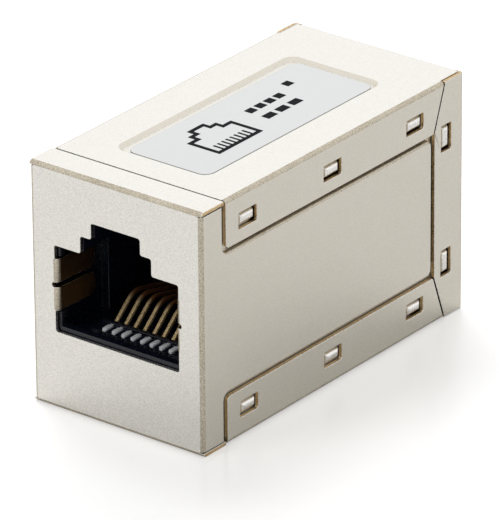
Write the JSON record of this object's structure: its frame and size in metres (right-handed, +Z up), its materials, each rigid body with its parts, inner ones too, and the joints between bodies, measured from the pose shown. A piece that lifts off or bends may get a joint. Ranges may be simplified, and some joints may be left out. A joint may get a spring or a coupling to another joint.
{
  "type": "modular plug inline coupler",
  "caption": "Shielded inline coupler with a modular plug socket at each end, in a folded and snapped metal case.",
  "frame": {"origin": "middle of the underside, which rests on what the coupler lies on", "axes": "+X across the width, +Y from the front socket to the rear socket, +Z up, with the latch slots above the contacts"},
  "size_m": [0.0182, 0.0366, 0.0224],
  "materials": {
    "case_metal": "satin nickel plating over brass sheet",
    "label": "matt printed film",
    "black_plastic": "moulded, satin",
    "circuit_board": "solder mask",
    "gold_contact": "gold plated springs"
  },
  "bodies": {
    "root": {"front_shell": "case_metal", "rear_shell": "case_metal", "label": "label", "front_housing": "black_plastic", "rear_housing": "black_plastic", "front_contact_carrier": "black_plastic", "rear_contact_carrier": "black_plastic", "circuit_board": "circuit_board", "front_contact_1": "gold_contact", "front_contact_2": "gold_contact", "front_contact_3": "gold_contact", "front_contact_4": "gold_contact", "front_contact_5": "gold_contact", "front_contact_6": "gold_contact", "front_contact_7": "gold_contact", "front_contact_8": "gold_contact", "rear_contact_1": "gold_contact", "rear_contact_2": "gold_contact", "rear_contact_3": "gold_contact", "rear_contact_4": "gold_contact", "rear_contact_5": "gold_contact", "rear_contact_6": "gold_contact", "rear_contact_7": "gold_contact", "rear_contact_8": "gold_contact"}
  },
  "joints": []
}
